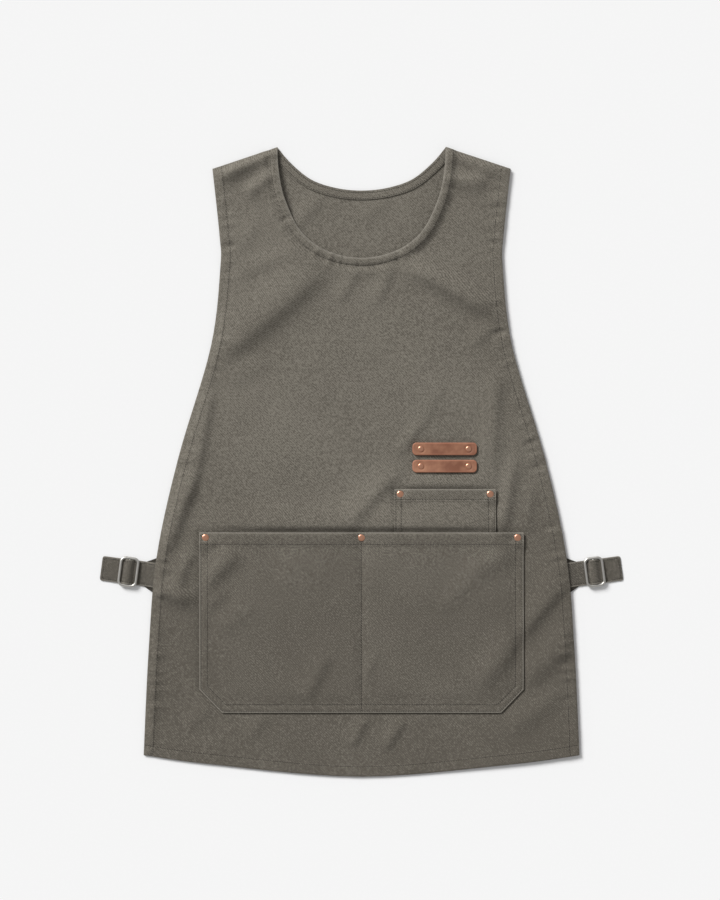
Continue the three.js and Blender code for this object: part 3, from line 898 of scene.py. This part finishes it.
def back_facing_top(points):
    neck, _ = away_and_along(spaced(back_runs["neckline"], 4), points)
    groove = 0.25 * sum(np.exp(-((neck - row) / 0.8) ** 2) for row in FACING_ROWS)
    return back_top(points) + AIR + CLOTH + 0.6 - groove


def front_facing_top(points):
    return front_top(points) - front_thickness(points) - AIR


def seam_top(points):
    """The top of a shoulder's folded allowance, kept between the two panels."""
    return np.minimum(front_top(points) - front_thickness(points) - AIR, back_top(points) + 1.5)


def seam_thickness(points):
    return np.maximum(seam_top(points) - back_top(points) - AIR, 0.3)


def plain(points):
    return np.full(len(points), CLOTH)


back_facing_runs = split_at_corners(trace_outline("back_neck_facing"), 50)
facing_rows = [inset(back_runs["neckline"], row) for row in FACING_ROWS]
back_facing = cut_sheet(
    "back_neck_facing_cloth", back_facing_runs, back_facing_top, plain,
    [spaced(row, FACING_STEP) for row in facing_rows], FACING_STEP, canvas,
)
facing_stitches = sew(
    "back_neck_facing_stitches", facing_rows, outline_of(back_facing_runs), back_facing_top, thread
)
front_facing_runs = split_at_corners(trace_outline("front_neck_facing"), 50)
front_facing = cut_sheet(
    "front_neck_facing_cloth", front_facing_runs, front_facing_top, plain, [], FACING_STEP * 1.6, canvas
)
finish_piece(back_facing, ["back"], ["back_neck_facing"])
finish_piece(facing_stitches, ["back"])
finish_piece(front_facing, ["front"], ["front_neck_facing"])

for side in ("left", "right"):
    seam_runs = split_at_corners(trace_outline(f"{side}_shoulder_seam"))
    seam = cut_sheet(f"{side}_shoulder_seam_cloth", seam_runs, seam_top, seam_thickness, [], 3.0, canvas)
    low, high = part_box(f"{side}_shoulder_seam")
    finish_piece(
        seam, ["back", "front", (low[0], low[1], low[2]), (low[0], low[1], high[2])],
        [f"{side}_shoulder_seam"],
    )
print("facings and seams are in place")

# %% [markdown]
# ## Pockets
# A patch pocket is one piece of canvas. Its sides and bottom are turned under once and sewn down with two
# rows, and its mouth is turned twice into a wide band. Empty, it lies almost flat, gaping a little
# between its rivets.

# %% The tool pocket
def pocket_hems(top_run, sewn_run, band, band_row, rows, seed):
    return [
        make_hem(top_run, band, [band_row], 0.2, 12, seed, pull=0.4),
        make_hem(sewn_run, rows[-1] + 1.2, rows, 0.2, 11, seed + 1, 0.22, 0.35),
    ]


def band_shape(points, top_run, band, row):
    """The mouth's band tips outwards from its stitching, with a small fold at each end of the row."""
    mouth, _ = away_and_along(top_run, points)
    left, right = top_run[:, 0].min(), top_run[:, 0].max()
    height = top_run[0, 1] - row
    ends = fold(points, (left - 8, height), (left + 22, height), 7, 6, 2.4)
    ends += fold(points, (right - 18, height), (right + 8, height), 7, 6, 2.4)
    return 1.4 * ease(band, 0, mouth) + ends


def beside(points, places, reach):
    """0 at any of the places along the top edge and 1 away from them all."""
    free = np.ones(len(points))
    for place in places:
        free *= 1 - np.exp(-((points[:, 0] - place) / reach) ** 2)
    return free


LIFT = 0.9
TOOL_BAND, TOOL_ROW = 15.0, 12.5
tool_hems = pocket_hems(tool_top, tool_sewn, TOOL_BAND, TOOL_ROW, [1.9, 8.8], 61)
tool_ends = [tool_top[:, 0].min() + 5, tool_top[:, 0].max() - 5]


def tool_bulge(points):
    """How far the tool pocket stands off the panel: a little all over, and more at its mouth."""
    sewn, _ = away_and_along(tool_sewn, points)
    mouth, _ = away_and_along(tool_top, points)
    gape = 1.1 * ease(42, 0, mouth) * beside(points, tool_ends, 16)
    folds = fold(points, (56, -88), (92, -50), 12, 8, 0.5) + fold(points, (112, -84), (146, -56), 12, 9, 0.4)
    return 0.8 * ease(8, 22, sewn) + gape + folds * ease(2, 12, sewn)


def tool_thickness(points):
    return CLOTH + add_hems(points, tool_hems)[0]


def tool_surface(points):
    layers, shapes = add_hems(points, tool_hems)
    rise = LIFT + CLOTH + layers + shapes + tool_bulge(points) + dents(points, 0.35, 5.5)
    return front_top(points) - trench(points) + rise + band_shape(points, tool_top, TOOL_BAND, TOOL_ROW)


POCKET_STEP = 2.4
tool_outline = split_at_corners(trace_outline("tool_pocket"))
tool_pocket = cut_sheet(
    "tool_pocket_cloth", tool_outline, tool_surface, tool_thickness,
    [line for hem in tool_hems for line in hem_guides(hem, POCKET_STEP)], POCKET_STEP, canvas,
    rubbed_and_lit_runs=[tool_top],
)
tool_stitches = sew(
    "tool_pocket_stitches", [row for hem in tool_hems for row in rows_of(hem)], outline_of(tool_outline),
    tool_surface, thread,
)
finish_piece(tool_pocket, ["front"], ["tool_pocket"])
finish_piece(tool_stitches, ["front"])
print("tool pocket", len(tool_pocket.data.vertices), "points")

# %% The wide pocket
WIDE_BAND, WIDE_ROW = 16.0, 14.5
wide_hems = pocket_hems(wide_top, wide_sewn, WIDE_BAND, WIDE_ROW, [1.9, 9.8], 71)
wide_ends = [wide_top[:, 0].min() + 7, 0.0, wide_top[:, 0].max() - 7]
divider = np.array([[0.0, wide_top[0, 1] - 9], [0.0, wide_sewn[:, 1].min() + 1]])

# start, end, gentle width, steep width, height and bow of each fold on the wide pocket, in mm
POCKET_FOLDS = [
    ((-202, -160), (-144, -102), 16, 12, 4.8, 0),
    ((-200, -184), (-156, -150), 12, 9, 2.0, 0),
    ((-70, -290), (-38, -226), 14, 8, 2.4, 0),
    ((134, -276), (198, -198), 20, 14, 4.4, 0),
    ((-4, -278), (14, -228), 12, 7, 1.4, 0),
    ((120, -138), (182, -108), 16, 15, 2.6, 0),
    ((-174, -204), (-130, -168), 16, 13, 1.8, 0),
    ((92, -180), (132, -140), 14, 11, 1.4, 0),
    ((-110, -160), (-60, -110), 18, 14, 1.3, 0),
]


def wide_bulge(points):
    """How far the wide pocket stands off: its mouth, its folds, and what lies under it."""
    sewn, _ = away_and_along(wide_sewn, points)
    mouth, _ = away_and_along(wide_top, points)
    held = 1 - np.exp(-(points[:, 0] / 8) ** 2)
    gape = 1.3 * ease(55, 0, mouth) * beside(points, wide_ends, 20)
    inwards = 1.2 * ease(-190, -120, points[:, 0])
    total = inwards * ease(9, 26, sewn) + gape + 0.25 * swell(points, 70, 31) + 0.1 * swell(points, 30, 32)
    for start, end, gentle, steep, height, bow in POCKET_FOLDS:
        total += fold(points, start, end, gentle, steep, height, bow)
    below, _ = away_and_along(tool_sewn, points)
    covers = np.where(inside(outline_of(tool_outline), points), 0, below)
    return np.maximum(total * ease(1, 16, sewn) * held, 1.4 * ease(18, 0, covers))


def wide_thickness(points):
    return CLOTH + add_hems(points, wide_hems)[0]


def wide_surface(points):
    layers, shapes = add_hems(points, wide_hems)
    below_mouth = ease(wide_top[0, 1] - 6, wide_top[0, 1] - 12, points[:, 1])
    row = 0.35 * np.exp(-(points[:, 0] / 1.0) ** 2) * below_mouth
    rise = LIFT + CLOTH + layers + shapes + wide_bulge(points) - row + dents(points, 0.4, 6)
    return front_top(points) - trench(points) + rise + band_shape(points, wide_top, WIDE_BAND, WIDE_ROW)


wide_outline = split_at_corners(trace_outline("wide_pocket"))
wide_guides = [line for hem in wide_hems for line in hem_guides(hem, POCKET_STEP)]
wide_guides += [spaced(divider + [shift, 0], POCKET_STEP) for shift in (-1.0, 0.0, 1.0)]
wide_pocket = cut_sheet(
    "wide_pocket_cloth", wide_outline, wide_surface, wide_thickness, wide_guides, POCKET_STEP * 1.2, canvas,
    rubbed_and_lit_runs=[wide_top, wide_sewn],
)
wide_stitches = sew(
    "wide_pocket_stitches", [row for hem in wide_hems for row in rows_of(hem)] + [divider],
    outline_of(wide_outline), wide_surface, thread,
)
finish_piece(wide_pocket, ["front"], ["wide_pocket", "wide_pocket_turned_edge"])
finish_piece(wide_stitches, ["front"])
print("wide pocket", len(wide_pocket.data.vertices), "points")

# %% [markdown]
# ## Leather keepers
# Each keeper is a strip of leather held by a rivet at each end, and a brush handle is pushed under its
# middle. The leather is stiff, so it keeps a slight arch, and the rivets press a shallow ring into it.

# %% Cut the keepers
HIDE = 2.4
KEEPER_HALF = 38.8
RIVET_RING = 4.3
keeper_places = [place for name, place in rivet_places.items() if "keeper" in name]


def keeper_top(points):
    """A slight arch between the rivets, a ring pressed round each and a seat below each cap."""
    middle_x = np.mean([place[0] for place in keeper_places])
    arch = 0.45 * ease(14, 34, np.abs(np.abs(points[:, 0] - middle_x) - KEEPER_HALF))
    ring = np.zeros(len(points))
    for place in keeper_places:
        radius = np.linalg.norm(points - place, axis=1)
        ring -= 0.4 * np.exp(-((radius - RIVET_RING) / 0.7) ** 2) + 0.3 * np.exp(-(radius / 3.4) ** 4)
    return front_lie(points) - trench(points) - dents(points, 0.4, 6) + AIR + HIDE + arch + ring


def keeper_thickness(points):
    return np.full(len(points), HIDE)


for level in ("upper", "lower"):
    node = f"{level}_leather_keeper"
    keeper_outline = split_at_corners(trace_outline(node))
    keeper = cut_sheet(
        f"{node}_hide", keeper_outline, keeper_top, keeper_thickness, [], 1.0, leather, edge=0.8,
        rubbed_and_lit_runs=keeper_outline,
    )
    finish_piece(keeper, ["front"], [node])
print("the keepers are riveted on")

# %% [markdown]
# ## Rivets
# A tubular rivet has a low cap on the outside, flat on top with a rounded shoulder, and a washer on the
# inside. The two are pressed together through the cloth, so the cloth dips round each cap.

# %% Set the rivets
def cap_profile(radius, post):
    """A flat-topped cap with a rounded shoulder and a rolled rim, and the post below it."""
    steps = (0.98, 0.95, 0.9, 0.84, 0.76, 0.66, 0.5, 0.3)
    bevel = [(radius * far, 0.4 + 0.95 * (1 - far ** 5) ** 0.9) for far in steps]
    rim = [(radius - 0.35, 0.0), (radius - 0.08, 0.08), (radius, 0.28)]
    return [(0, -post), (1.4, -post), (1.5, 0.0), *rim, *bevel, (0, 1.35)]


# (radius, height) of a washer's section, in mm, running round it once
WASHER = [(1.7, 0.0), (3.3, 0.0), (3.6, 0.2), (3.6, 0.5), (3.2, 0.7), (1.8, 0.7)]


def seat_of(name, place):
    """The height that a rivet's cap sits at."""
    surface = keeper_top if "keeper" in name else tool_surface if "tool" in name else wide_surface
    return float(surface(place[None, :])[0]) - 0.12


for name, place in rivet_places.items():
    radius = (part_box(name)[1][0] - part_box(name)[0][0]) / 2 / MM
    seat = seat_of(name, place)
    under = float((front_top(place[None, :]) - front_thickness(place[None, :]))[0])
    points, faces = turn_round(cap_profile(radius, seat - under + 0.4), place, seat)
    finish_piece(make_object(name + "_metal", points, faces, copper), ["front"], [name])
    back = name.replace("rivet_cap", "rivet_back")
    points, faces = turn_round(WASHER, place, under - 0.75)
    finish_piece(make_object(back + "_metal", points, faces, copper), ["front"], [back])
print(len(rivet_places), "rivets are set")

# %% [markdown]
# ## Side straps and sliders
# A strap comes out from under the front panel, and a shorter, flared tab from under it, out of the back
# panel. The tab's end is folded round the slider's middle bar. The strap goes under one side of the
# slider, over the bar and under the other side, and the slider is pushed along it. The strap here is one
# long flat run with the hump over the bar laid on it, so that the hump can go with the slider and leave
# no hole behind. Its root is a short piece of its own, hidden under the panel's edge.

# %% The strap's own directions
# Distances along the strap are in mm from the panel's edge, outwards.
SEWN_IN = 16.0
ROOT_JOIN = -1.0
HUMP_START, HUMP_END = 21.8, 42.2
TAB_JOIN = 22.4
SLIDER_AT = 32.0
STRAP_END = 65.2
STRAP_HALF = 14.8
STRAP_ROW = 2.5

# Each path is a list of (distance along the strap, height of the top of the cloth above the table), in mm.
ROOT_PATH = [(-16, 2.8), (-1, 2.8)]
RUN_PATH = [(-1, 2.8), (13, 1.6), (22.4, 1.55), (44, 1.6), (60, 1.35), (65, 1.3)]
HUMP_PATH = [(22.5, 2.8), (24.5, 2.85), (31, 6.15), (33, 6.15), (40, 2.6), (43, 2.55)]
TAB_PATH = [(-16, 1.95), (-1, 1.9), (12, 0.8), (32, 0.75)]


def path_height(path, far):
    """A smooth line through places of (distance along the strap, height)."""
    height = np.full(len(far), float(path[0][1]))
    for (a, low), (b, high) in zip(path, path[1:]):
        height += (high - low) * ease(a, b, far)
    return height


def strap_frame(side):
    """Where a strap starts at the panel's edge, its outward direction and the direction across it."""
    joint = next(j for j in frame["record"]["behaviour"]["joints"] if j["name"] == f"{side}_slider_slide")
    outward = -np.array(joint["axis"][:2], float)
    outward /= np.linalg.norm(outward)
    start = centre_of(f"{side}_slider") - outward * SLIDER_AT
    return start, outward, np.array([-outward[1], outward[0]])


def rectangle(near, far, half, corner):
    """The four sides of a strap piece, with its far corners rounded, as (along, across)."""
    turns = np.linspace(-math.pi / 2, 0, 5)
    lower = [(far - corner + corner * math.cos(a), -half + corner + corner * math.sin(a)) for a in turns]
    upper = [(x, -y) for x, y in reversed(lower)]
    sides = [[(near, -half), *lower[:1]], lower, [lower[-1], upper[0]], upper, [upper[-1], (near, half)]]
    sides.append([(near, half), (near, -half)])
    return [np.array(side, float) for side in sides if np.ptp(np.array(side), axis=0).max() > 0.01]


def strap_piece(name, side, outline, path, rows, motion, nodes, thickness=0.8, material=None):
    """One stretch of strap or tab: two layers of folded canvas with a row of stitching along each edge."""
    start, outward, across = strap_frame(side)

    def to_place(local):
        return start + local[:, :1] * outward + local[:, 1:] * across

    def top(points):
        far = (points - start) @ outward
        return path_height(path, far) - groove(points) + 0.13 * swell(points, 16, 81)

    def groove(points):
        wide = np.abs((points - start) @ across)
        return 0.5 * thickness * np.exp(-((wide - STRAP_HALF + STRAP_ROW) / 0.9) ** 2)

    def thick(points):
        return thickness - groove(points)

    runs = [to_place(run) for run in outline]
    placed_rows = [to_place(np.array(row, float)) for row in rows]
    guides = [spaced(row, 1.6) for row in placed_rows]
    long_edges = [np.array([(path[0][0], v), (path[-1][0], v)]) for v in (-STRAP_HALF, STRAP_HALF)]
    piece = cut_sheet(
        name + "_cloth", runs, top, thick, guides, 1.8, material or strap_canvas, edge=thickness / 2,
        rubbed_and_lit_runs=[to_place(line) for line in long_edges],
    )
    stitches = sew(name + "_stitches", placed_rows, outline_of(runs), top, thread)
    finish_piece(piece, motion, nodes)
    finish_piece(stitches, motion)


def edge_rows(near, far):
    """The two rows of stitching along a strap, as (along, across)."""
    line = STRAP_HALF - STRAP_ROW
    return [[(near, -line), (far, -line)], [(near, line), (far, line)]]


# %% Wire slider
# WIRE and BAR are the radii of the ring's wire and of the bar, in mm.
WIRE = 1.7
BAR = 1.1
RING_HEIGHT = 3.65
RING_LENGTH = 24.0
RING_WIDTH = 36.4
RING_CORNER = 5.4


def ring_path():
    """The centre line of the slider's ring, as (along, across)."""
    half_long, half_wide = RING_LENGTH / 2 - WIRE, RING_WIDTH / 2 - WIRE
    path = []
    for quarter, (x, y) in enumerate([(1, 1), (-1, 1), (-1, -1), (1, -1)]):
        for turn in np.linspace(0, math.pi / 2, 8) + quarter * math.pi / 2:
            path.append((SLIDER_AT + x * (half_long - RING_CORNER) + RING_CORNER * math.cos(turn),
                         y * (half_wide - RING_CORNER) + RING_CORNER * math.sin(turn)))
        corner = path[-1]
        following = {0: (-1, 0), 1: (0, -1), 2: (1, 0), 3: (0, 1)}[quarter]
        reach = 2 * ((half_long if following[0] else half_wide) - RING_CORNER)
        path += [(corner[0] + following[0] * reach * t, corner[1] + following[1] * reach * t)
                 for t in (0.25, 0.5, 0.75)]
    return np.array(path)


def place_wire(side, local, height):
    """Turns places along and across a strap into places on the table, at a height."""
    start, outward, across = strap_frame(side)
    flat = start + local[:, :1] * outward + local[:, 1:] * across
    return np.column_stack([flat, height])


def make_slider(side):
    """The ring and the bar across its middle, as one piece."""
    ring = ring_path()
    points, faces = draw_wire(place_wire(side, ring, np.full(len(ring), RING_HEIGHT)), WIRE, True)
    reach = RING_WIDTH / 2 - WIRE
    bar = np.array([(SLIDER_AT, v) for v in np.linspace(-reach, reach, 9)])
    more, more_faces = draw_wire(place_wire(side, bar, np.full(len(bar), RING_HEIGHT)), BAR, False)
    count = len(points)
    faces += [[count + i for i in face] for face in more_faces]
    slider = make_object(f"{side}_slider_wire", np.vstack([points, more]), faces, nickel)
    finish_piece(slider, [f"{side}_adjuster"], [f"{side}_slider"])


def make_loop(side):
    """The tab's end, wrapped round the bar, with both its ends turned back towards the panel."""
    start, outward, across = strap_frame(side)
    middle_radius = BAR + AIR + CLOTH / 2
    turns = np.linspace(-math.pi / 2, math.pi / 2, 11)
    bend = [
        (SLIDER_AT + middle_radius * math.cos(a), RING_HEIGHT + middle_radius * math.sin(a)) for a in turns
    ]
    line = np.array([(26.5, 2.5), (28.5, 2.2), *bend, (28.5, 4.4), (26.5, 3.4)])
    ahead = np.gradient(line, axis=0)
    ahead /= np.linalg.norm(ahead, axis=1)[:, None]
    normal = np.column_stack([-ahead[:, 1], ahead[:, 0]]) * CLOTH / 2
    section = np.vstack([line + normal, (line - normal)[::-1]])
    stations = np.linspace(-STRAP_HALF + 0.4, STRAP_HALF - 0.4, 14)
    points = np.vstack([
        np.column_stack([start + section[:, :1] * outward + v * across, section[:, 1]]) for v in stations
    ])
    around, count = len(section), len(line)
    faces = []
    for i in range(len(stations) - 1):
        for k in range(around):
            m = (k + 1) % around
            a, b = i * around, (i + 1) * around
            faces.append([a + k, b + k, b + m, a + m])
    for base, flip in ((0, False), ((len(stations) - 1) * around, True)):
        for k in range(count - 1):
            face = [base + k, base + k + 1, base + around - 2 - k, base + around - 1 - k]
            faces.append(face[::-1] if flip else face)
    loop = make_object(f"{side}_tab_loop_cloth", points, faces, canvas, np.full(len(points), 0.2))
    finish_piece(loop, [f"{side}_adjuster"], [f"{side}_tab_loop"])
    return loop


# %% Make both sides
def turn_faces_outwards(piece):
    """The loop's faces run either way round, so Blender is asked to turn them all outwards."""
    work = bmesh.new()
    work.from_mesh(piece.data)
    bmesh.ops.recalc_face_normals(work, faces=work.faces)
    work.to_mesh(piece.data)
    work.free()


for side in ("left", "right"):
    start, outward, across = strap_frame(side)

    def along(far):
        place = (start + outward * far) * MM
        return (place[0], place[1], 0.0)

    strap = f"{side}_strap"
    # The back tab uses the canvas darkened as painted shadow.
    strap_piece(
        f"{side}_back_tab", side,
        [(run - start) @ np.column_stack([outward, across])
         for run in split_at_corners(trace_outline(f"{side}_back_tab"), 10)],
        TAB_PATH, edge_rows(12, 31), ["back", strap, along(0), along(TAB_JOIN)], [f"{side}_back_tab"],
        thickness=CLOTH, material=painted_shadow_canvas,
    )
    strap_piece(
        f"{side}_strap_root", side, rectangle(-SEWN_IN, ROOT_JOIN, STRAP_HALF, 0), ROOT_PATH,
        edge_rows(-SEWN_IN, ROOT_JOIN), ["back", "front", along(SEWN_IN + 2 * ROOT_JOIN), along(-SEWN_IN)],
        [f"{side}_front_strap"],
    )
    last_row, line = STRAP_END - STRAP_ROW, STRAP_HALF - STRAP_ROW
    run_rows = [*edge_rows(ROOT_JOIN, last_row), [(last_row, -line), (last_row, line)]]
    strap_piece(
        f"{side}_strap_run", side, rectangle(ROOT_JOIN, STRAP_END, STRAP_HALF, 2.5), RUN_PATH, run_rows,
        [strap], [f"{side}_front_strap"],
    )
    strap_piece(
        f"{side}_strap_hump", side, rectangle(HUMP_START, HUMP_END, STRAP_HALF, 0), HUMP_PATH,
        edge_rows(HUMP_START, HUMP_END), [f"{side}_adjuster"], [f"{side}_front_strap"], thickness=CLOTH,
    )
    make_slider(side)
    turn_faces_outwards(make_loop(side))
print("straps and sliders are in place")

# %% [markdown]
# ## Table, light and camera
# The garment lies on white paper. A large window light comes from the upper left and low enough to draw
# the folds, and an even white surround fills the shadows. The camera looks straight down.

# %% Table, light and camera
TABLE_HALF = 16.0
TABLE_TOP = -0.0002


def add_table():
    """A table so wide that its edge is far away even in a low view, and just clear of the cloth."""
    mesh = bpy.data.meshes.new("table")
    corners = [(x * TABLE_HALF, y * TABLE_HALF, TABLE_TOP) for x, y in ((-1, -1), (1, -1), (1, 1), (-1, 1))]
    mesh.from_pydata(corners, [], [(0, 1, 2, 3)])
    table = bpy.data.objects.new("table", mesh)
    bpy.context.scene.collection.objects.link(table)
    paper = new_material("white paper")
    place = add(paper, "ShaderNodeTexCoord", {}).outputs["Object"]
    # Flecks of fibre about 3 mm long: 1 / 0.0033 is about 300.
    fibres = add(paper, "ShaderNodeTexNoise", {"Vector": place, "Scale": 300.0, "Detail": 2.0})
    colour = add(
        paper, "ShaderNodeMix", {"Factor": fibres.outputs["Fac"], 6: linear("#EEEEEE"), 7: linear("#F0F0F0")},
        data_type="RGBA",
    )
    set_surface(paper, add(paper, "ShaderNodeBsdfDiffuse", {"Color": colour.outputs[2]}))
    mesh.materials.append(paper)


add_table()

SURROUND_STRENGTH = 0.42
WINDOW_STRENGTH = 3.7
WINDOW_SOFTNESS = math.radians(24)
WINDOW_AZIMUTH, WINDOW_ELEVATION = math.radians(132), math.radians(33)
CAMERA_PLACE = (-0.0018, 0.0144, 2.554)

world = bpy.data.worlds.new("studio")
world.use_nodes = True
world.node_tree.nodes["Background"].inputs["Color"].default_value = (1.0, 1.0, 1.0, 1.0)
world.node_tree.nodes["Background"].inputs["Strength"].default_value = SURROUND_STRENGTH
bpy.context.scene.world = world

key = bpy.data.lights.new("window light", "SUN")
key.energy = WINDOW_STRENGTH
key.angle = WINDOW_SOFTNESS
key_object = bpy.data.objects.new("window light", key)
key_object.rotation_euler = (math.pi / 2 - WINDOW_ELEVATION, 0, WINDOW_AZIMUTH + math.pi / 2)
bpy.context.scene.collection.objects.link(key_object)

camera = bpy.data.cameras.new("camera")
camera.lens = 85
camera.sensor_width = 36
camera_object = bpy.data.objects.new("camera", camera)
camera_object.location = CAMERA_PLACE
bpy.context.scene.collection.objects.link(camera_object)
bpy.context.scene.camera = camera_object
bpy.context.scene.view_settings.view_transform = "Standard"
